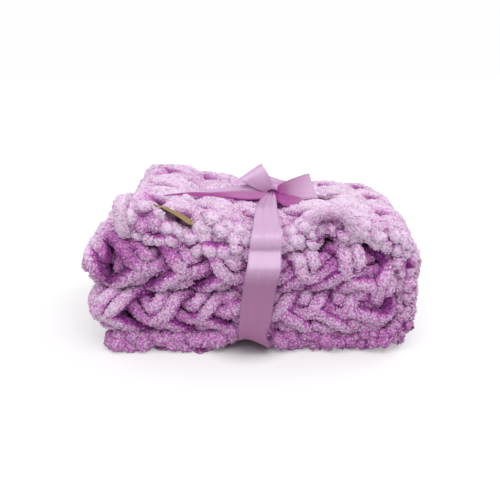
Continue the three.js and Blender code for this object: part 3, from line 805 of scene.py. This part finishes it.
# Two turns have worked loose on the top layer's front edge: one wraps the left corner, one stands up.
LOOSE_TURNS = (    # u, v, n and thickness
    [(0.003, 0.034, 0.0100, 0.0074), (0.003, 0.012, 0.0125, 0.0078), (0.003, -0.004, 0.0120, 0.0080),
     (0.003, -0.0110, 0.0060, 0.0080), (0.004, -0.0110, -0.0070, 0.0080), (0.006, -0.002, -0.0160, 0.0074)],
    [(0.214, 0.016, 0.0040, 0.0062), (0.222, 0.006, 0.0130, 0.0066), (0.232, -0.0010, 0.0200, 0.0068),
     (0.244, -0.0040, 0.0215, 0.0074), (0.255, -0.0060, 0.0185, 0.0074), (0.261, -0.0070, 0.0110, 0.0068),
     (0.262, -0.0040, 0.0010, 0.0066), (0.260, 0.010, -0.0020, 0.0062)],
)
LOOSE_CORE = 0.014         # the edge's middle, from which their pile points away
# how pale each loose turn is painted, and how much painted shade on its flanks is taken off
LOOSE_LEVELS, LOOSE_FREE = (0.95, 0.88), (0.3, 0.8)
for turn, turn_level, free in zip(LOOSE_TURNS, LOOSE_LEVELS, LOOSE_FREE):
    u, v, n, radii = spline(np.array(turn), 6).T
    points = fold(u, v, n)
    outward = unit(points - fold(u, 0 * v + LOOSE_CORE, 0 * n))
    yarn.strand(points, radii, outward, turn_level + 0 * u, np.full(len(u), True), free=free)

# Left of the ribbon the top layer's front edge droops over the layer below, most in the middle.
DROOP, DROOP_INSIDE = (0.014, 0.148), 0.003
DROOP_DOWN, DROOP_MORE = 0.0150, 0.0035
edge_run(yarn, DROOP[1] - DROOP[0], lambda s, inward: (DROOP[0] + s, DROOP_INSIDE + inward),
         lambda t: -DROOP_DOWN - DROOP_MORE * np.sin(math.pi * t), lit=0.66)
edging = [yarn.piece("side_edges", plush)]

# The cast-on and cast-off loops are wide and even, as two strands that turn opposite ways.
END_INSIDE, END_SPAN = 0.0180, (0.010, CLOTH_WIDTH - 0.024)
# lit is how pale they are painted, and free takes off painted shade on their flanks
END_LOOPS = {"pitch": 0.037, "reach": 0.0092, "twist": 0.0066, "thick": 0.0080,
             "wander": 0.0012, "rough": 0.30, "lit": 0.74, "free": 0.45}
yarn = Yarn()
for at, way in ((END_INSIDE, 1), (CLOTH_LENGTH - END_INSIDE, -1)):
    for phase in (0.0, 0.5):
        edge_run(yarn, CLOTH_WIDTH,
                 lambda s, inward: (at + way * inward, mix(*END_SPAN, s / CLOTH_WIDTH)),
                 lambda t: 0 * t, phase=phase, **END_LOOPS)
edging.append(yarn.piece("end_edges", plush))


# ---------------------------------------------------------------- the label
# A small tan patch of suede, laid flat in the knitting near the front left corner and sewn on.
# It lies between two ribs of the knitting, which hide part of it. Its nap is short and matt, and
# each way it is brushed gives it a lighter or a darker spot.

suede, suede_tree, suede_shader = new_material(
    "suede_split_leather_sueded", Roughness=0.9, Specular_IOR_Level=0.2)
NAP = 1 / 900              # a brushed spot of the nap, a little over a millimetre
nap = node(suede_tree, "ShaderNodeTexNoise", Scale=1 / NAP, Detail=3.0,
           Vector=node(suede_tree, "ShaderNodeTexCoord").outputs["Object"])
nap_tone = node(suede_tree, "ShaderNodeValToRGB", Fac=nap.outputs["Fac"])
for stop, code in zip(nap_tone.color_ramp.elements, ("#86724A", "#AE986C")):
    stop.color = linear(code)
suede_tree.links.new(nap_tone.outputs["Color"], suede_shader.inputs["Base Color"])

LABEL_LENGTH, LABEL_WIDTH, LABEL_THICK, LABEL_CORNER = 0.050, 0.024, 0.0015, 0.004
LABEL_DEEP = 0.0036        # its face lies this far down in the stitches
LABEL_TILT = 0.0022        # its front edge rides up on the edge's knobs
LABEL_BOW = 0.0030         # and its two ends droop

label_x, label_y = LABEL_PLACE
across, along = np.meshgrid(np.linspace(-1, 1, 13), np.linspace(-1, 1, 25))
corner = np.minimum(1.0, (1.0 - np.abs(along)) * LABEL_LENGTH / 2 / LABEL_CORNER)
half = LABEL_WIDTH / 2 - LABEL_CORNER * (1.0 - np.sqrt(1.0 - (1.0 - corner) ** 2))
local_x, local_y = along * LABEL_LENGTH / 2, across * half
x = label_x + local_x * math.cos(LABEL_TURN) - local_y * math.sin(LABEL_TURN)
y = label_y + local_x * math.sin(LABEL_TURN) + local_y * math.cos(LABEL_TURN)
z = (top_height(x, y) - LABEL_DEEP - LABEL_SLOPE * (x - label_x)
     - LABEL_BOW * along ** 2 - LABEL_TILT * across)
label = new_piece("suede_label", *closed_sheet(
    np.stack([x, y, z], axis=-1), np.stack([x, y, z - LABEL_THICK], axis=-1)), suede)
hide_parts("label")


# ---------------------------------------------------------------- the ribbon
# One length of 40 mm double-faced satin ribbon goes round the pack and is tied on top in a bow.
# Satin is woven with long floats, so it is smooth and shines along fine lines. Its deepest folds
# are painted in a strong magenta shade, with a faint painted glow.

RIBBON_WIDTH = 0.040
RIBBON_THICK = 0.0004

satin, satin_tree, satin_shader = new_material(
    "satin_ribbon_woven_polyester", Roughness=0.36, Specular_IOR_Level=0.7,
    Sheen_Weight=0.25, Sheen_Roughness=0.35, Emission_Color=linear("#B42CC0"))
FLOAT_WIDE, FLOAT_LONG = 0.002, 1 / 9     # a bundle of floats, as coarse as it needs to show
place = node(satin_tree, "ShaderNodeAttribute", {"attribute_name": "weave"})
split = node(satin_tree, "ShaderNodeSeparateXYZ", Vector=place.outputs["Vector"])
stretched = node(satin_tree, "ShaderNodeVectorMath", {"operation": "MULTIPLY"},
                 i0=place.outputs["Vector"], i1=(1 / FLOAT_WIDE, 1 / FLOAT_LONG, 0.0))
floats = node(satin_tree, "ShaderNodeTexNoise", Detail=2.0, Scale=1.0,
              Vector=stretched.outputs["Vector"])
satin_tone = node(satin_tree, "ShaderNodeValToRGB", Fac=floats.outputs["Fac"])
for stop, position, code in zip(satin_tone.color_ramp.elements, (0.3, 0.7), ("#CAA1C9", "#D0AACF")):
    stop.position = position
    stop.color = linear(code)
# painted shade: the third value of each spot darkens the satin towards deep magenta
deep = node(satin_tree, "ShaderNodeMix", {"data_type": "RGBA"}, i0=split.outputs["Z"],
            i6=satin_tone.outputs["Color"], i7=linear("#8E3874"))
satin_tree.links.new(deep.outputs[2], satin_shader.inputs["Base Color"])
# a painted glow in the deepest painted shade: the satin gives off light there, though it is no lamp
GLOW_FROM, GLOW = 0.76, 0.20              # the glow starts at this shade and grows to this strength
deep_glow = node(satin_tree, "ShaderNodeMapRange", Value=split.outputs["Z"],
                 i1=GLOW_FROM, i2=1.0, i3=0.0, i4=GLOW)
satin_tree.links.new(deep_glow.outputs["Result"], satin_shader.inputs["Emission Strength"])

LIP = SHEET / 2
BACK_RADIUS = PITCH + SHEET / 2
KNOT_LIFT = 0.009
KNOT = np.array([BAND_X["knot"], 0.0, float(top_height(BAND_X["knot"], 0.0)) + KNOT_LIFT])

# The ribbon's run over the top in front of the knot, down the front, and behind the knot:
# y, its middle x, half width, height over the cloth's face, depth of its gathers.
TOP_FRONT = (
    (-0.005, 0.0248, 0.0036, 0.0085, 0.0010), (-0.012, 0.0240, 0.0046, 0.0080, 0.0012),
    (-0.026, 0.0212, 0.0084, 0.0066, 0.0014), (-0.045, 0.0178, 0.0120, 0.0050, 0.0012),
    (-0.070, 0.0162, 0.0140, 0.0042, 0.0008), (-0.095, 0.0156, 0.0154, 0.0038, 0.0004),
)
# height from the pack's middle, middle x, half width, how far it stands out of the face
FRONT_FACE = (
    (0.0680, 0.0140, 0.0185, 0.0042), (0.0630, 0.0136, 0.0186, 0.0026), (0.0580, 0.0130, 0.0188, 0.0052),
    (0.0520, 0.0126, 0.0191, 0.0100), (0.0460, 0.0120, 0.0194, 0.0142), (0.0400, 0.0110, 0.0194, 0.0160),
    (0.0300, 0.0092, 0.0192, 0.0148), (0.0100, 0.0062, 0.0190, 0.0104), (-0.0120, 0.0040, 0.0189, 0.0078),
    (-0.0300, 0.0026, 0.0187, 0.0072), (-0.0450, 0.0012, 0.0180, 0.0066), (-0.0600, -0.0010, 0.0166, 0.0064),
)
TOP_BACK = (
    (0.082, 0.0280, 0.0185, 0.0040, 0.0002), (0.064, 0.0275, 0.0165, 0.0080, 0.0008),
    (0.042, 0.0200, 0.0140, 0.0120, 0.0020), (0.022, 0.0190, 0.0110, 0.0130, 0.0030),
    (0.006, 0.0240, 0.0050, 0.0100, 0.0020),
)
# round the lip of the top layer: angle, middle x, half width, height over the face
FRONT_LIP = ((90, 0.0157, 0.0166, 0.0040), (118, 0.0156, 0.0174, 0.0044), (140, 0.0152, 0.0180, 0.0050),
             (156, 0.0148, 0.0184, 0.0050), (172, 0.0143, 0.0184, 0.0050))
FRONT_GATHER = 0.0003
# round the lowest layer's lip: angle, and how far it stands out; its middle x and half width
LOW_LIP, LOW_X, LOW_HALF = ((200, 0.0058), (225, 0.0046), (250, 0.0030), (270, 0.0004)), 0.001, 0.0186
# Underneath and round the back it is flat and tight. In the bed below it presses on the cloth.
UNDER_START, UNDER_HALF = 0.002, 0.0190
UNDER_SPAN, BED_END, UNDER_OFF = (0.08, 0.92), 0.3, {"bed": -0.0010, "back": 0.0006}
BACK_OFF, BACK_STEP = 0.0022, 18


def round_row(y, h, radius, degrees, *rest):
    """A row of the band on a round face whose middle lies at y and h."""
    out_y, out_h = math.cos(math.radians(degrees)), math.sin(math.radians(degrees))
    return (y + radius * out_y, h + radius * out_h, out_y, out_h, *rest)


def band_rows():
    """y, h, outward y and h, middle x, half width, distance off the face, depth of the gathers."""
    rows = [(y, OUTSIDE, 0, 1, *rest) for y, *rest in TOP_FRONT]
    rows += [round_row(FRONT + LIP, OUTSIDE - LIP, LIP, degrees, *rest, FRONT_GATHER)
             for degrees, *rest in FRONT_LIP]
    rows += [(FRONT, h, -1, 0, *rest, FRONT_GATHER) for h, *rest in FRONT_FACE]
    rows += [round_row(FRONT + LIP, LIP - OUTSIDE, LIP, degrees, LOW_X, LOW_HALF, off, 0)
             for degrees, off in LOW_LIP]
    for share in np.linspace(*UNDER_SPAN, 9):
        y = mix(FRONT + LIP, BACK - BACK_RADIUS, share)
        off = UNDER_OFF["bed"] if share < BED_END else UNDER_OFF["back"]
        rows.append((y, -OUTSIDE, 0, -1, mix(UNDER_START, BAND_X["back_low"], share), UNDER_HALF, off, 0))
    for start, side, x, first in ((270, -1, BAND_X["back_low"], 0), (0, 1, BAND_X["back_high"], 1)):
        rows += [round_row(BACK - BACK_RADIUS, side * (OUTSIDE - BACK_RADIUS), BACK_RADIUS,
                           start + BACK_STEP * step, x, UNDER_HALF, BACK_OFF, 0)
                 for step in range(first, 6)]
    rows += [(y, OUTSIDE, 0, 1, *rest) for y, *rest in TOP_BACK]
    return np.array(rows)


# Across the ribbon, from one edge (-1) to the other (1).
ACROSS = np.linspace(-1.0, 1.0, 21)


def strip(grid, run, one_shade, other_shade, crease=(0.0, 1.0)):
    """A thin closed strip of ribbon round a grid of points, with each spot's place in the weave, and
    its painted shade, which goes from the other edge's to the one edge's between the two shares in crease."""
    along, across = np.gradient(grid, axis=0), np.gradient(grid, axis=1)
    normal = unit(np.cross(along, across), 1e-12)
    spots, faces = closed_sheet(grid + normal * RIBBON_THICK / 2, grid - normal * RIBBON_THICK / 2)
    steps = np.linalg.norm(np.diff(grid[:, len(ACROSS) // 2], axis=0), axis=1)
    length = run + np.concatenate([[0.0], np.cumsum(steps)])
    share = np.interp((ACROSS[None, :] + 1) / 2, crease, (0.0, 1.0))
    weave = np.stack([np.broadcast_to(ACROSS[None, :] * RIBBON_WIDTH / 2, grid.shape[:2]),
                      np.broadcast_to(length[:, None], grid.shape[:2]),
                      mix(other_shade[:, None], one_shade[:, None], share)], axis=-1)
    return spots, faces, np.concatenate([weave.reshape(-1, 3)] * 2)


# The band: gathers run along it near the knot, and on the front face its middle stands out a
# little. In front it is painted darker below the top layer, and most so at its foot. On top its one
# edge is painted in shade where it gathers, and both edges are painted in shade where they tuck
# in under the knot.
BAND_WAVES, WAVES_START = 2.6, 0.6
BULGE, BULGE_ASIDE = 0.0005, 0.1
FRONT_SHADE, FRONT_SHADE_Z = 0.64, (0.095, 0.128)
FOOT_SHADE, FOOT_SHADE_Z = 0.12, (0.010, 0.060)
GATHER_SHADE, GATHER_PLACE, GATHER_LONG = 0.50, -0.034, (0.014, 0.030)
TUCKED_LONG = (0.008, 0.020)

rows = spline(band_rows(), 4)
face_y, face_h, out_y, out_h, middle, half, off, gather = (rows[:, i:i + 1] for i in range(8))
in_front = out_y < -0.5
x = middle + half * ACROSS
off = (off + gather * np.cos(BAND_WAVES * math.pi * ACROSS + WAVES_START)
       + BULGE * np.cos(math.pi * (ACROSS - BULGE_ASIDE)) * in_front)
y = face_y + off * out_y + 0 * x
z = pack_height(x, face_y + 0 * x, face_h + 0 * x) + off * out_h
edge_z = z[:, 0]
darker = np.where(in_front[:, 0], FRONT_SHADE * fade(edge_z, *FRONT_SHADE_Z)
                  + FOOT_SHADE * fade(edge_z, *FOOT_SHADE_Z), 0.0)
on_top = ~in_front[:, 0] & (out_h[:, 0] > 0.5)
# painted shade where the one edge gathers and where both edges tuck in under the knot
gathered_shade = GATHER_SHADE * plateau(face_y[:, 0] - GATHER_PLACE, *GATHER_LONG) * on_top
tucked_shade = plateau(face_y[:, 0], *TUCKED_LONG) * on_top
strips = [strip(np.stack([x, y, z], axis=-1), 0.0, np.maximum(darker, tucked_shade),
                np.maximum(darker + gathered_shade, tucked_shade))]

# The bow. Each row gives the ribbon's middle, from the knot, and the steps from there to its one
# edge and to its other edge, in millimetres; then how deep the painted shade of the one and the
# other edge is.
BOW = {
    "left_loop": [
        ((0, -1, 0), (1, 1, 4), (-2, -1, -3), (0.3, 0.5)),
        ((-8, -5, 6), (6, 3, 7), (-7, -1, -5), (0.1, 0.3)),
        ((-17, -6, 15), (11, 4, 8), (-12, -2, -7), (0, 0.1)),
        ((-26, -4, 23), (13, 6, 10), (-14, -5, -8), (0, 0)),
        ((-30, 2, 26), (15, 7, 9), (-15, -7, -9), (0, 0)),
        ((-27, 9, 23), (14, 8, 8), (-14, -6, -9), (0.3, 0.5)),
        ((-15, 9, 11), (9, 4, 7), (-9, -3, -7), (0.5, 0.6)),
        ((0, 3, 1), (2, 2, 4), (-3, -2, -4), (0.5, 0.7)),
    ],
    "right_loop": [
        ((2, -1, 0), (0, 2, 4), (0, -1, -4), (1.0, 1.0)),
        ((13, -4, 5), (0, 4, 6), (2, -8, -6), (0.9, 0.9)),
        ((28, -7, 9), (0, 8, 8), (3, -17, -15), (0.6, 0.3)),
        ((43, -9, 11), (1, 12, 11), (4, -20, -16), (0.35, 0.0)),
        ((52, -12, 9), (-3, 16, 12), (5, -18, -13), (0.2, 0)),
        ((50, -16, 2), (-3, 15, 8), (4, -14, -4), (0.8, 0)),
        ((33, -16, -3), (0, 14, 3), (2, -13, -2), (1.0, 0.6)),
        ((16, -11, -4), (0, 12, 3), (0, -10, -2), (1.0, 1.0)),
        ((1, -3, -2), (1, 5, 3), (0, -5, -2), (1.0, 1.0)),
    ],
    "back_fold": [
        ((2, 3, 2), (-4, 0, 2), (5, 0, -1), (0.3, 0.3)),
        ((5, 9, 9), (-9, 1, 5), (12, 2, -2), (0.1, 0.3)),
        ((7, 17, 12), (-11, 2, 4), (14, 3, -4), (0, 0.1)),
        ((10, 25, 8), (-12, 2, 3), (14, 3, -3), (0.2, 0.3)),
        ((12, 31, 1), (-12, 2, 2), (14, 3, -2), (0.5, 0.5)),
    ],
    "left_tail": [
        ((0, -1, 0), (0, 4, 1), (0, -2, -3), (0, 0.5)),
        ((-9, -3, 2), (0, 7, 3), (0, -5, -5), (0, 0.8)),
        ((-18, -5, 3), (0, 9, 4), (0, -8, -12), (0, 1.0)),
        ((-36, -8, 4), (0, 12, 3), (0, -9, -14), (0, 1.0)),
        ((-58, -12, 4), (0, 13, 1), (0, -7, -14), (0, 1.0)),
        ((-80, -21, 5), (1, 10, 0), (-1, -6, -11), (0, 1.0)),
        ((-100, -37, 8), (2, 5, 0), (-1, -4, -5), (0, 1.0)),
        ((-115, -57, 11), (2, 3, -0.5), (-2, -3, -2.5), (0, 1.0)),
        ((-132, -80, 14), (2, 2, 0), (-2, -2, -1), (0, 1.0)),
    ],
    "right_tail": [
        ((2, -5, -3), (0, 4, 1), (0, -12, -2), (1.0, 1.0)),
        ((12, -18, -4), (0, 10, 2), (1, -28, -4), (1.0, 1.0)),
        ((25, -22, -3), (2, 12, 3), (1, -27, -5), (1.0, 0.9)),
        ((40, -22, -4), (2, 12, 2), (0, -15, -2), (0.9, 0.7)),
        ((54, -14, -5), (3, 7, 0), (-1, -7, 0), (0.7, 0.5)),
        ((70, -18, -5), (3, 4, 0), (-1, -4, 0), (0.7, 0.5)),
        ((86, -28, -5), (3, 3, 0), (-3, -3, 0), (0.6, 0.5)),
    ],
    "knot": [
        ((-6, -1, -3), (1, 3, 1), (-1, -3, -1), (0.9, 0.9)),
        ((-6, -3, 3), (0, 4, 3), (-1, -3, -3), (0.2, 0.9)),
        ((-1, -4, 7), (1, 5, 2), (-1, -4, -3), (0, 0.8)),
        ((5, -4, 5), (2, 5, 2), (-1, -4, -2), (0.1, 0.9)),
        ((7, -3, -1), (1, 4, 1), (0, -4, 0), (0.6, 0.8)),
        ((3, -2, -7), (1, 3, 0), (0, -3, 0), (0.9, 0.9)),
    ],
}
FLAT_ON_CLOTH = 0.0012     # the lower edges lie in among the stitches
ROUND = 0.175              # how much each stretch of the bow is rounded across
# It is gathered close to the knot, where each stretch starts and a loop ends.
KNOT_GATHER, GATHER_FADES, GATHER_WAVES = 0.0016, 12.0, 3.1
# painted shade: the left tail's lower half is painted in shade, changing sharply at its fold
TAIL_CREASE = (0.42, 0.56)    # the left end is folded along its middle, its lower half in shade
BAND_LENGTH, STRETCH_LENGTH = 0.8, 0.1    # so far along the weave each stretch starts

run = BAND_LENGTH
for name, stations in BOW.items():
    table = spline(np.array([[*m, *a, *b, *shade] for m, a, b, shade in stations], dtype=float), 7)
    table[:, :9] /= 1000
    one, other = np.maximum(ACROSS, 0.0), np.maximum(-ACROSS, 0.0)
    round_off = ROUND * (1.0 - np.abs(ACROSS)) ** 2
    grid = (KNOT + table[:, None, :3] + (one + round_off)[None, :, None] * table[:, None, 3:6]
            + (other + round_off)[None, :, None] * table[:, None, 6:9])
    if name != "knot":
        gathers = np.linspace(0, 1, len(table))
        near = np.exp(-GATHER_FADES * gathers)
        if "loop" in name:
            near = near + np.exp(-GATHER_FADES * (1 - gathers))
        waves = np.cos(GATHER_WAVES * math.pi * ACROSS)
        grid[..., 2] += KNOT_GATHER * near[:, None] * waves[None, :]
    resting = top_height(grid[..., 0], grid[..., 1]) + FLAT_ON_CLOTH
    grid[..., 2] = np.maximum(grid[..., 2], resting)
    crease = TAIL_CREASE if name == "left_tail" else (0.0, 1.0)
    strips.append(strip(grid, run, table[:, 9], table[:, 10], crease))
    run += STRETCH_LENGTH

vertices, faces, weave, base = [], [], [], 0
for spots, quads, places in strips:
    vertices.append(spots)
    faces.append(quads + base)
    weave.append(places)
    base += len(spots)
ribbon = new_piece("satin_ribbon", np.concatenate(vertices), np.concatenate(faces), satin)
weave_places = ribbon.data.attributes.new("weave", "FLOAT_VECTOR", "POINT")
weave_places.data.foreach_set("vector", np.concatenate(weave).astype(np.float32).ravel())
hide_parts("ribbon")


# ---------------------------------------------------------------- the stage
# A white floor, soft light from all round and a large soft lamp above the front. Two weaker ones,
# behind at the right and at the left, round off the strands.

floor_material, floor_tree, floor_shader = new_material(
    "white_paper_floor", Base_Color=linear("#D2D2D2"), Roughness=0.9)
floor_mesh = bpy.data.meshes.new("floor")
floor_mesh.from_pydata([(-6, -6, 0), (6, -6, 0), (6, 6, 0), (-6, 6, 0)], [], [(0, 1, 2, 3)])
floor_mesh.materials.append(floor_material)
floor = add_object("floor", floor_mesh)

# To the camera alone the floor has a glow of its own. It grows away from the pack, so that the
# floor is white all round and keeps the shadow. There is no glow under the lifted front edge, which
# leaves the real shadow there and darkens it further as a painted shadow.
GLOW_REACH, FLOOR_GLOW = (0.2, 1.6), (0.34, 0.78)
ARCH_SHADE_Y, ARCH_SHADE = -0.095, (0.030, 0.062)
ROOM_LIGHT, ROOM_WHITE = 0.47, 0.99       # the room's light, and what the camera sees of it

rays = node(floor_tree, "ShaderNodeLightPath")
spot_on_floor = node(floor_tree, "ShaderNodeTexCoord").outputs["Object"]
away = node(floor_tree, "ShaderNodeVectorMath", {"operation": "LENGTH"}, i0=spot_on_floor)
glow_there = node(floor_tree, "ShaderNodeMapRange", Value=away.outputs["Value"],
                  i1=GLOW_REACH[0], i2=GLOW_REACH[1], i3=FLOOR_GLOW[0], i4=FLOOR_GLOW[1])
from_arch = node(floor_tree, "ShaderNodeVectorMath", {"operation": "DISTANCE"},
                 i0=spot_on_floor, i1=(ARCH["x"], ARCH_SHADE_Y, 0.0))
open_floor = node(floor_tree, "ShaderNodeMapRange", Value=from_arch.outputs["Value"],
                  i1=ARCH_SHADE[0], i2=ARCH_SHADE[1])
glow_here = node(floor_tree, "ShaderNodeMath", {"operation": "MULTIPLY"},
                 i0=glow_there.outputs["Result"], i1=open_floor.outputs["Result"])
glow = node(floor_tree, "ShaderNodeEmission", Color=(1, 1, 1, 1), Strength=glow_here.outputs["Value"])
lit = node(floor_tree, "ShaderNodeAddShader", i0=floor_shader.outputs["BSDF"], i1=glow.outputs["Emission"])
seen = node(floor_tree, "ShaderNodeMixShader", i0=rays.outputs["Is Camera Ray"],
            i1=floor_shader.outputs["BSDF"], i2=lit.outputs["Shader"])
floor_tree.links.new(seen.outputs["Shader"], floor_tree.nodes["Material Output"].inputs["Surface"])

world = bpy.data.worlds.new("white_room")
bpy.context.scene.world = world
world.use_nodes = True
background = world.node_tree.nodes["Background"]
background.inputs["Color"].default_value = (1, 1, 1, 1)
room_rays = node(world.node_tree, "ShaderNodeLightPath")
room_light = node(world.node_tree, "ShaderNodeMapRange", i0=room_rays.outputs["Is Camera Ray"],
                  i1=0.0, i2=1.0, i3=ROOM_LIGHT, i4=ROOM_WHITE)
world.node_tree.links.new(room_light.outputs["Result"], background.inputs["Strength"])

LAMPS = [   # name, place, size and power; each is aimed at the middle of the pack
    ("soft_top", (0.08, -0.88, 1.32), 1.2, 15.2),
    ("soft_right_back", (1.1, 0.5, 1.2), 0.8, 6.5),
    ("soft_left", (-1.2, 0.1, 0.7), 0.8, 3.4),
]
aim = Vector((0.0, 0.0, 0.08))
for name, place, size, power in LAMPS:
    lamp_data = bpy.data.lights.new(name, "AREA")
    lamp_data.size = size
    lamp_data.energy = power
    lamp = add_object(name, lamp_data)
    lamp.location = place
    lamp.rotation_euler = (aim - Vector(place)).to_track_quat("-Z", "Y").to_euler()


# ---------------------------------------------------------------- the camera
# It stands in front of the pack, 0.83 m from its middle, and looks down on it by 20 degrees. The
# lens is a normal one, shifted so that the pack lies a little below the middle.

CAMERA_DISTANCE = 0.832
CAMERA_RISE = math.radians(20)
camera_data = bpy.data.cameras.new("camera")
camera_data.sensor_width = 36.0
camera_data.lens = 43.2
camera_data.shift_y = 0.023
camera = add_object("camera", camera_data)
target = Vector((-0.004, 0.0, 0.075))
camera.location = target + CAMERA_DISTANCE * Vector((0.0, -math.cos(CAMERA_RISE), math.sin(CAMERA_RISE)))
camera.rotation_euler = (target - camera.location).to_track_quat("-Z", "Y").to_euler()
bpy.context.scene.camera = camera
bpy.context.scene.view_settings.view_transform = "Standard"
